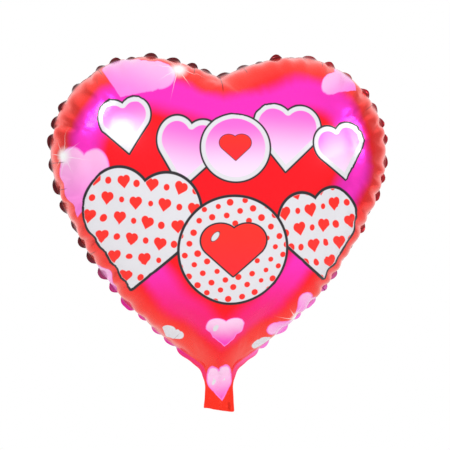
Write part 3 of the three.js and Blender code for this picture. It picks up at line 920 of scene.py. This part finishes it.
def printed_inks(tree, inks, at):
    """The printed picture with painted rim sheen and painted light and shade on the sealed border: its
    colour, and how much of it is opaque ink over the metal
    """
    heart = heart_group()
    shape, scatter, glint = shape_group(heart), scatter_group(heart), sparkle_group()
    place, inset, across, up = at["print_place"], at["inset"], at["across"], at["up"]
    uneven = add(tree, "ShaderNodeTexNoise", {"Vector": place, "Scale": 0.012, "Detail": 1.0})["Fac"]
    wander = add(tree, MATH, {0: uneven, 1: 30.0, 2: inset}, operation="MULTIPLY_ADD")[0]
    share = {}
    for name, value, start, end, easing in (
            ("inside the outer edge", wander, 33.0, 46.0, "SMOOTHSTEP"),
            ("outside the inner edge", wander, 76.0, 58.0, "SMOOTHSTEP"),
            ("above the point", up, 70.0, 150.0, "SMOOTHSTEP"),
            # painted reflection: the film is painted lighter red within 30 mm of the seal
            ("at the rim", inset, 30.0, 5.0, "SMOOTHSTEP"),
            ("on the heart", up, 24.0, 50.0, "LINEAR"),
            ("on the tail", up, 22.0, -8.0, "LINEAR"),
            ("round the lobes", up, 60.0, 130.0, "LINEAR"),
            ("on the right", across, 10.0, 30.0, "LINEAR"),
            ("far on the right", across, 40.0, 160.0, "LINEAR"),
            ("outside the seal", inset, 0.4, -1.2, "LINEAR"),
            ("above the neck", up, 2.0, 14.0, "LINEAR")):
        share[name] = add(
            tree, MAP_RANGE, {"Value": value, "From Min": start, "From Max": end},
            interpolation_type=easing)[0]
    for name, one, other in (
            ("band", "inside the outer edge", "outside the inner edge"),
            ("band on the heart", "band", "on the heart"),
            ("border", "outside the seal", "above the neck")):
        share[name] = add(tree, MATH, {0: share[one], 1: share[other]}, operation="MULTIPLY")[0]
    colour = {name: getattr(inks, name) for name in ("red", "rim", "magenta", "hot_pink", "tail", "petal",
                                                     "border", "lit_right_border", "low_border")}
    for name, mask, under, over in (
            ("tint", "above the point", "hot_pink", "magenta"),
            # red turns to the painted rim sheen towards the seal
            ("red with rim sheen", "at the rim", "red", "rim"),
            ("heart", "band on the heart", "red with rim sheen", "tint"),
            ("ground", "on the tail", "heart", "tail"),
            # painted light and shade on the sealed border: lighter to the right, deep crimson round the
            # lobes, magenta towards the point
            ("low edge", "on the right", "low_border", "petal"),
            ("shaded high edge", "far on the right", "border", "lit_right_border"),
            ("edge", "round the lobes", "low edge", "shaded high edge")):
        colour[name] = add(
            tree, MIX, {0: share[mask], 6: colour[under], 7: colour[over]}, data_type="RGBA")[2]
    plain = {"Disc": 0.0, "Low": inks.white, "High": inks.white, "Border": 0.0, "Edge": inks.white,
             "Line": 0.0, "Outline": inks.white, "Soft": 0.8, "Cover": 1.0}
    styles = print_styles(inks)
    ground, ink = colour["ground"], 0.0
    for style, x, z, width, tilt, height in PRINT:
        moved = add(tree, VECTOR_MATH, {0: place, 1: (-x, -z, 0)}, operation="ADD")[0]
        turned = add(
            tree, "ShaderNodeVectorRotate",
            {"Vector": moved, "Axis": (0, 0, 1), "Angle": math.radians(-tilt)}, rotation_type="AXIS_ANGLE")[0]
        middle = add(tree, VECTOR_MATH, {0: turned, 1: (1, height, 0)}, operation="MULTIPLY")[0]
        if style == "glint":
            mask = add(tree, GROUP, {"Place": middle, "Size": width}, node_tree=glint)[0]
            ground = add(tree, MIX, {0: mask, 6: ground, 7: linear("#FFFFFF")}, data_type="RGBA")[2]
            ink = add(tree, MATH, {0: ink, 1: mask}, operation="MAXIMUM")[0]
            continue
        given = {"Ground": ground, "Ink": ink, "Place": middle, "Width": width}
        made = add(tree, GROUP, plain | styles[style] | given, node_tree=shape)
        ground, ink = made["Ground"], made["Ink"]
        if style in FILLINGS:
            filling = dict(zip(("Pitch", "Heart", "Dot", "Stagger"), FILLINGS[style]))
            spots = add(tree, GROUP, filling | {"Place": middle}, node_tree=scatter)["Mask"]
            shown = add(tree, MATH, {0: spots, 1: made["Filling"]}, operation="MULTIPLY")[0]
            ground = add(tree, MIX, {0: shown, 6: ground, 7: inks.small_hearts}, data_type="RGBA")[2]
    # the sealed border, with its painted shade and light, goes outside the seal
    sealed = add(tree, MIX, {0: share["border"], 6: ground, 7: colour["edge"]}, data_type="RGBA")[2]
    return sealed, ink


def painted_crease_shade(tree, at):
    """Mask of painted shade: a few sharp short creases that run in from the seal, one of them down from the
    cleft
    """
    share = add(tree, MATH, {0: at["along"], 1: CREASE_SPACING}, operation="DIVIDE")[0]
    number = add(tree, MATH, {0: share}, operation="FLOOR")[0]
    chance = add(tree, "ShaderNodeTexWhiteNoise", {"W": number}, noise_dimensions="1D")
    centre = add(tree, MAP_RANGE, {"Value": chance["Value"], "To Min": 0.1, "To Max": 0.9})[0]
    part = add(tree, MATH, {0: share}, operation="FRACT")[0]
    beside = add(tree, MATH, {0: part, 1: centre}, operation="SUBTRACT")[0]
    away = add(tree, MATH, {0: beside}, operation="ABSOLUTE")[0]
    from_crease = add(tree, MATH, {0: away, 1: CREASE_SPACING}, operation="MULTIPLY")[0]
    from_cleft = add(tree, MATH, {0: at["across"]}, operation="ABSOLUTE")[0]
    lengths = add(tree, "ShaderNodeSeparateColor", {0: chance["Color"]})["Green"]
    length = add(tree, MAP_RANGE, {"Value": lengths, "To Min": 6.0, "To Max": 18.0})[0]
    masks = []
    for width, distance, reach in ((0.6, from_crease, length), (0.8, from_cleft, 20.0)):
        thin = add(
            tree, MAP_RANGE, {"Value": distance, "From Min": width, "From Max": width / 3},
            interpolation_type="SMOOTHSTEP")[0]
        left = add(tree, MATH, {0: reach, 1: at["inset"]}, operation="SUBTRACT")[0]
        fade = add(tree, MAP_RANGE, {"Value": left, "From Max": 5.0}, interpolation_type="SMOOTHSTEP")[0]
        masks.append(add(tree, MATH, {0: thin, 1: fade}, operation="MULTIPLY")[0])
    most = add(tree, MATH, {0: masks[0], 1: masks[1]}, operation="MAXIMUM")[0]
    body = add(tree, MAP_RANGE, {"Value": at["up"], "From Min": 25.0, "From Max": 60.0})[0]
    return add(tree, MATH, {0: most, 1: body}, operation="MULTIPLY")[0]


def painted_seam_shade(tree, at):
    """Mask of painted shade: the thin dark line where the film turns over at the seal; it fades out below the
    heart
    """
    off_seal = add(tree, MATH, {0: at["inset"]}, operation="ABSOLUTE")[0]
    seam = add(
        tree, MAP_RANGE, {"Value": off_seal, "From Min": 0.9, "From Max": 0.2, "To Max": 0.45},
        interpolation_type="SMOOTHSTEP")[0]
    on_heart = add(tree, MAP_RANGE, {"Value": at["up"], "From Min": 20.0, "From Max": 70.0})[0]
    return add(tree, MATH, {0: seam, 1: on_heart}, operation="MULTIPLY")[0]


def printed_foil(name, inks):
    """Metallised polyester film, reverse printed: bright tinted metal, gloss from the clear top layer,
    painted shade in the creases and along the seam
    """
    material, tree, shader = new_material(name)
    at = film_places(tree)
    colour, ink = printed_inks(tree, inks, at)
    # painted shade: dark red in the sharp folds and along the seam
    shade = add(tree, MATH, {0: painted_crease_shade(tree, at), 1: 0.75}, operation="MULTIPLY")[0]
    shade = add(tree, MATH, {0: shade, 1: painted_seam_shade(tree, at)}, operation="MAXIMUM")[0]
    crease_shaded = add(tree, MIX, {0: shade, 6: colour, 7: inks.crease_shade}, data_type="RGBA")[2]
    metal = add(tree, MATH, {0: ink, 1: -0.55, 2: 0.72}, operation="MULTIPLY_ADD")[0]
    feed(tree, shader, {
        "Base Color": crease_shaded, "Metallic": metal, "Roughness": 0.22, "Coat Weight": 0.12,
        "Coat Roughness": 0.08, "Normal": film_creases(tree, at)})
    return material


def film_creases(tree, at):
    """Fine creases: radial lines that start at the seal, and the soft crackle of thin film"""
    # creases 4 to 6 mm apart along the seal, some 20 mm long
    drawn = add(tree, "ShaderNodeCombineXYZ", {"X": at["along"], "Y": at["inset"], "Z": 0.0})[0]
    stretched = add(tree, VECTOR_MATH, {0: drawn, 1: (0.20, 0.03, 0)}, operation="MULTIPLY")[0]
    radial = add(tree, "ShaderNodeTexNoise", {"Vector": stretched, "Scale": 1.0, "Detail": 3.0})["Fac"]
    near = add(
        tree, MAP_RANGE, {"Value": at["inset"], "From Min": 26.0, "From Max": 2.0},
        interpolation_type="SMOOTHSTEP")[0]
    strong = add(tree, MATH, {0: radial, 1: near}, operation="MULTIPLY")[0]
    crackle = add(
        tree, "ShaderNodeTexNoise", {"Vector": at["print_place"], "Scale": 0.05, "Detail": 4.0})["Fac"]
    height = add(tree, MATH, {0: crackle, 1: 0.30, 2: strong}, operation="MULTIPLY_ADD")[0]
    return add(tree, "ShaderNodeBump", {"Height": height, "Distance": 0.0012, "Strength": 0.5})[0]


def new_material(name):
    """A material with an empty principled shader"""
    material = bpy.data.materials.new(name)
    material.use_nodes = True
    return material, material.node_tree, material.node_tree.nodes["Principled BSDF"]


def bare_metallising():
    """Vacuum-deposited aluminium on the films' inner face: silver, mirror-like, slightly hazy"""
    material, tree, shader = new_material("metallised_film_inner_face")
    place = add(tree, "ShaderNodeTexCoord")["Object"]
    haze = add(tree, "ShaderNodeTexNoise", {"Vector": place, "Scale": 60.0, "Detail": 3.0})["Fac"]
    rough = add(tree, MAP_RANGE, {"Value": haze, "To Min": 0.22, "To Max": 0.38})[0]
    feed(tree, shader, {"Base Color": linear("#D6D8DB"), "Metallic": 1.0, "Roughness": rough})
    return material


def heat_seal(inks):
    """Heat-sealed laminate at the cut edge: film pressed together, with fine ribs from the sealing bar"""
    material, tree, shader = new_material("heat_sealed_laminate")
    along = add(tree, ATTRIBUTE, attribute_name="along")["Fac"]
    turn = add(tree, MATH, {0: along, 1: 2 * math.pi / RIB_SPACING}, operation="MULTIPLY")[0]
    ribs = add(tree, MATH, {0: turn}, operation="SINE")[0]
    bump = add(tree, "ShaderNodeBump", {"Height": ribs, "Distance": 0.00005, "Strength": 0.6})[0]
    feed(tree, shader, {"Base Color": inks.rim, "Metallic": 0.7, "Roughness": 0.32, "Normal": bump})
    return material


def valve_film_material():
    """Blown polyethylene film: milky, slightly see-through, waxy gloss with faint draw lines"""
    material, tree, shader = new_material("polyethylene_film")
    place = add(tree, "ShaderNodeTexCoord")["Object"]
    drawn = add(tree, VECTOR_MATH, {0: place, 1: (900, 900, 60)}, operation="MULTIPLY")[0]
    lines = add(tree, "ShaderNodeTexNoise", {"Vector": drawn, "Scale": 1.0, "Detail": 2.0})["Fac"]
    colour = add(tree, MIX, {0: lines, 6: linear("#DDE3E6"), 7: linear("#F2F5F6")}, data_type="RGBA")[2]
    bump = add(tree, "ShaderNodeBump", {"Height": lines, "Distance": 0.0001, "Strength": 0.5})[0]
    feed(tree, shader, {
        "Base Color": colour, "Roughness": 0.35, "IOR": POLYETHYLENE_IOR, "Transmission Weight": 0.25,
        "Normal": bump})
    return material


def seal_material():
    """Melted polyethylene where the valve is welded to the film: clearer and smoother than the film"""
    material, tree, shader = new_material("polyethylene_weld")
    place = add(tree, "ShaderNodeTexCoord")["Object"]
    melt = add(tree, "ShaderNodeTexNoise", {"Vector": place, "Scale": 700.0, "Detail": 1.0})["Fac"]
    colour = add(tree, MIX, {0: melt, 6: linear("#C9CED2"), 7: linear("#E4E8EA")}, data_type="RGBA")[2]
    feed(tree, shader, {"Base Color": colour, "Roughness": 0.28, "IOR": POLYETHYLENE_IOR})
    return material


# ---------------------------------------------------------------- operators

class BALLOON_OT_films(bpy.types.Operator):
    """Fills the blank and makes the front and back films, border and tail included"""

    bl_idname = "balloon.films"
    bl_label = "Outer films"

    def execute(self, context):
        film, inks = context.scene.balloon_film, context.scene.balloon_print
        blank = filled_blank()
        normals = border_normals(blank)
        border = [int(i) for row in blank["rows"] for i in row]
        apart = (film.film_gauge + film.weld_gauge) / 2 / MM + LAYER_GAP
        inner = bare_metallising()
        for side, way in (("front", -1), ("back", 1)):
            used = blank[side]
            picked = np.r_[used, np.concatenate(blank["rows"][1:])]
            place = {int(p): i for i, p in enumerate(picked)}
            points = blank["shape"].copy()
            points[border] += way * apart * normals[border]
            turn = 1 if way < 0 else -1
            faces = [tuple(place[int(used[i])] for i in f[::turn]) for f in blank["faces"]]
            faces += [tuple(place[i] for i in f[::turn]) for f in blank["strip"]]
            art = np.c_[blank["print_place"], np.zeros(len(points))] * [-way, 1, 1]
            values = {name: blank[name][picked] for name in ("inset", "along")} | {"print_place": art[picked]}
            piece = new_piece("foil_" + side, points[picked], faces, values)
            make_film(piece, film.film_gauge, (printed_foil("metallised_polyester_" + side, inks), inner))
            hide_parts(side + "_film", "tail_" + side + "_film")
            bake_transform(piece)
        return {"FINISHED"}


class BALLOON_OT_sealed_edge(bpy.types.Operator):
    """Makes the sealed layer between the films, round the heart and down both sides of the tail"""

    bl_idname = "balloon.sealed_edge"
    bl_label = "Sealed edge"

    def execute(self, context):
        film, inks = context.scene.balloon_film, context.scene.balloon_print
        blank = filled_blank()
        picked = np.concatenate(blank["rows"])
        place = {int(p): i for i, p in enumerate(picked)}
        faces = [tuple(place[i] for i in f) for f in blank["strip"]]
        values = {name: blank[name][picked] for name in ("inset", "along")}
        piece = new_piece("sealed_edge", blank["shape"][picked], faces, values)
        make_film(piece, film.weld_gauge, (heat_seal(inks),))
        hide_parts("edge_weld", "tail_weld_left", "tail_weld_right")
        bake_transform(piece)
        return {"FINISHED"}


def film_sleeve(name, low, high, half_width, gap, lean):
    """Two thin films welded along both sides, open at both ends; gap and lean are functions of place"""
    across = np.sin(np.linspace(-math.pi / 2, math.pi / 2, SLEEVE_COLUMNS)) * half_width
    rows = np.linspace(low, high, max(8, round((high - low) / SLEEVE_STEP)) + 1)
    ring = [(x, 1) for x in across] + [(x, -1) for x in across[::-1][1:-1]]
    points, faces = [], []
    for z in rows:
        for x, way in ring:
            open_share = max(0.0, 1 - (abs(x) / (half_width - VALVE_WELD)) ** 4)
            apart = (VALVE_SLACK + gap(z) * open_share) * (abs(x) < half_width - 1e-6)
            points.append((x, lean(x, z) + way * apart, z))
    size = len(ring)
    for row in range(len(rows) - 1):
        for i in range(size):
            a, b = row * size + i, row * size + (i + 1) % size
            faces.append((a, a + size, b + size, b))
    return new_piece(name, points, faces)


class BALLOON_OT_valve(bpy.types.Operator):
    """Makes the flat filling valve inside the neck, and finishes its welds"""

    bl_idname = "balloon.valve"
    bl_label = "Valve"

    def execute(self, context):
        plastic, weld = valve_film_material(), seal_material()
        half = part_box("valve_inlet_weld_right")[1].x / MM
        mouth_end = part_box("valve_mouth_front")[0].z / MM
        inlet_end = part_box("valve_inlet_front")[1].z / MM - MOUTH_OVERLAP
        lips_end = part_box("valve_lip_front")[1].z / MM

        # half of what lies between the films, and how far both lie off the middle: the mouth gapes and the
        # lips nearly close
        def mouth_gap(z):
            return 0.25 + 1.5 * smooth(-z, 4, 22)

        def lip_gap(z):
            return 0.25 + 0.35 * smooth(z, 60, lips_end)

        def mouth_lean(x, z):
            return 0.25 * smooth(-z, 6, 20) * math.sin(x / 2.1 + z / 5)

        def lip_lean(x, z):
            return 0.8 * smooth(z, 30, 60) * math.sin(z / 6 + x / 9)

        mouth = film_sleeve("valve_mouth_sleeve", mouth_end, inlet_end, half, mouth_gap, mouth_lean)
        make_film(mouth, VALVE_GAUGE * MM, (plastic,))
        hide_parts("valve_mouth_front", "valve_mouth_back")
        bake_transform(mouth)
        lips = film_sleeve("valve_lips", inlet_end + 0.2, lips_end, half, lip_gap, lip_lean)
        make_film(lips, VALVE_GAUGE * MM, (plastic,))
        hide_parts("valve_inlet_front", "valve_inlet_back", "valve_inlet_weld_left",
                    "valve_inlet_weld_right", "valve_lip_front", "valve_lip_back", "valve_lip_weld_left",
                    "valve_lip_weld_right")
        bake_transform(lips)
        for side in ("front", "back"):
            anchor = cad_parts["anchor_weld_" + side]
            anchor.data.materials.clear()
            anchor.data.materials.append(weld)
        return {"FINISHED"}


# The stage, in metres
FLOOR_SIZE, FLOOR_DROP = 3.6, 0.34            # side of the floor, and how far below the balloon it lies
VIEW_MIDDLE = Vector((0.0066, 0, 0.175))      # what the camera and the lights are turned to
SOFT_BOX_SIZE = 0.5
SOFT_BOXES = (("soft_box_left", (-1.1, -1.5, 1.2), 7), ("soft_box_right", (1.3, -1.0, 0.7), 4))


def studio_world():
    """Pale surroundings: a white sweep behind, soft light in front and above, and dim flanks between"""
    world = bpy.data.worlds.new("studio")
    world.use_nodes = True
    tree = world.node_tree
    split = add(tree, "ShaderNodeSeparateXYZ", {0: add(tree, "ShaderNodeTexCoord")["Generated"]})
    most = 0.0
    for axis, start, end, strength in (("Y", 0.25, 0.75, 1.0), ("Y", -0.2, -0.8, 0.9), ("Z", 0.3, 0.8, 1.0)):
        bright = add(
            tree, MAP_RANGE, {"Value": split[axis], "From Min": start, "From Max": end, "To Max": strength},
            interpolation_type="SMOOTHSTEP")[0]
        most = add(tree, MATH, {0: most, 1: bright}, operation="MAXIMUM")[0]
    light = add(tree, MAP_RANGE, {"Value": most, "To Min": 0.52, "To Max": 1.0})[0]
    feed(tree, tree.nodes["Background"], {"Color": linear("#FFFFFF"), "Strength": light})
    bpy.context.scene.world = world


def soft_light(name, place, aim, size, power):
    """A square soft box at a place, turned to its aim"""
    bpy.ops.object.light_add(type="AREA", location=place)
    lamp = bpy.context.object
    lamp.name = name
    lamp.data.size = size
    lamp.data.energy = power
    lamp.rotation_euler = (Vector(aim) - Vector(place)).to_track_quat("-Z", "Y").to_euler()


class BALLOON_OT_stage(bpy.types.Operator):
    """Makes the floor, the lights and the camera"""

    bl_idname = "balloon.stage"
    bl_label = "Stage"

    def execute(self, context):
        stage = context.scene.balloon_stage
        bpy.ops.object.select_all(action="DESELECT")
        bpy.ops.mesh.primitive_plane_add(size=FLOOR_SIZE, location=(0, 0, CAD_BOX[0].z - FLOOR_DROP))
        floor = context.object
        floor.name = "floor"
        bpy.ops.object.transform_apply(location=True, rotation=True, scale=True)
        # matt emulsion paint on the floor
        paint, tree, shader = new_material("matt_paint")
        feed(tree, shader, {"Base Color": stage.floor, "Roughness": 0.9})
        floor.data.materials.append(paint)
        studio_world()
        for name, place, power in SOFT_BOXES:
            soft_light(name, place, VIEW_MIDDLE, SOFT_BOX_SIZE, power)
        bpy.ops.object.camera_add()
        camera = context.object
        camera.data.lens = stage.lens
        camera.data.dof.use_dof = False
        camera.data.clip_end = 50
        distance = stage.view_width * stage.lens / camera.data.sensor_width
        turn, lift = stage.azimuth, stage.elevation
        back = Vector((math.sin(turn) * math.cos(lift), -math.cos(turn) * math.cos(lift), math.sin(lift)))
        camera.location = VIEW_MIDDLE + back * distance
        camera.rotation_euler = (-back).to_track_quat("-Z", "Y").to_euler()
        context.scene.camera = camera
        context.scene.view_settings.view_transform = "Standard"
        return {"FINISHED"}


class BALLOON_PT_panel(bpy.types.Panel):
    """Lists the steps that make the balloon"""

    bl_idname = "BALLOON_PT_panel"
    bl_label = "Heart foil balloon"
    bl_space_type = "VIEW_3D"
    bl_region_type = "UI"
    bl_category = "Balloon"

    def draw(self, context):
        for step in STEPS:
            self.layout.operator(step.bl_idname)
        for group in GROUPS:
            settings = getattr(context.scene, group)
            box = self.layout.box()
            for name in settings.bl_rna.properties.keys():
                if name not in ("rna_type", "name"):
                    box.prop(settings, name)


GROUPS = {"balloon_film": FilmSettings, "balloon_print": PrintSettings, "balloon_stage": StageSettings}
STEPS = (BALLOON_OT_films, BALLOON_OT_sealed_edge, BALLOON_OT_valve, BALLOON_OT_stage)


def register():
    """Makes the settings, operators and panel known to Blender"""
    for name, group in GROUPS.items():
        bpy.utils.register_class(group)
        setattr(bpy.types.Scene, name, PointerProperty(type=group))
    for kind in STEPS + (BALLOON_PT_panel,):
        bpy.utils.register_class(kind)


def unregister():
    """Takes them away again"""
    for kind in reversed(STEPS + (BALLOON_PT_panel,)):
        bpy.utils.unregister_class(kind)
    for name, group in GROUPS.items():
        delattr(bpy.types.Scene, name)
        bpy.utils.unregister_class(group)


def main():
    """Makes every piece and the stage"""
    register()
    bpy.ops.balloon.films()
    bpy.ops.balloon.sealed_edge()
    bpy.ops.balloon.valve()
    bpy.ops.balloon.stage()


if __name__ == "__main__":
    main()
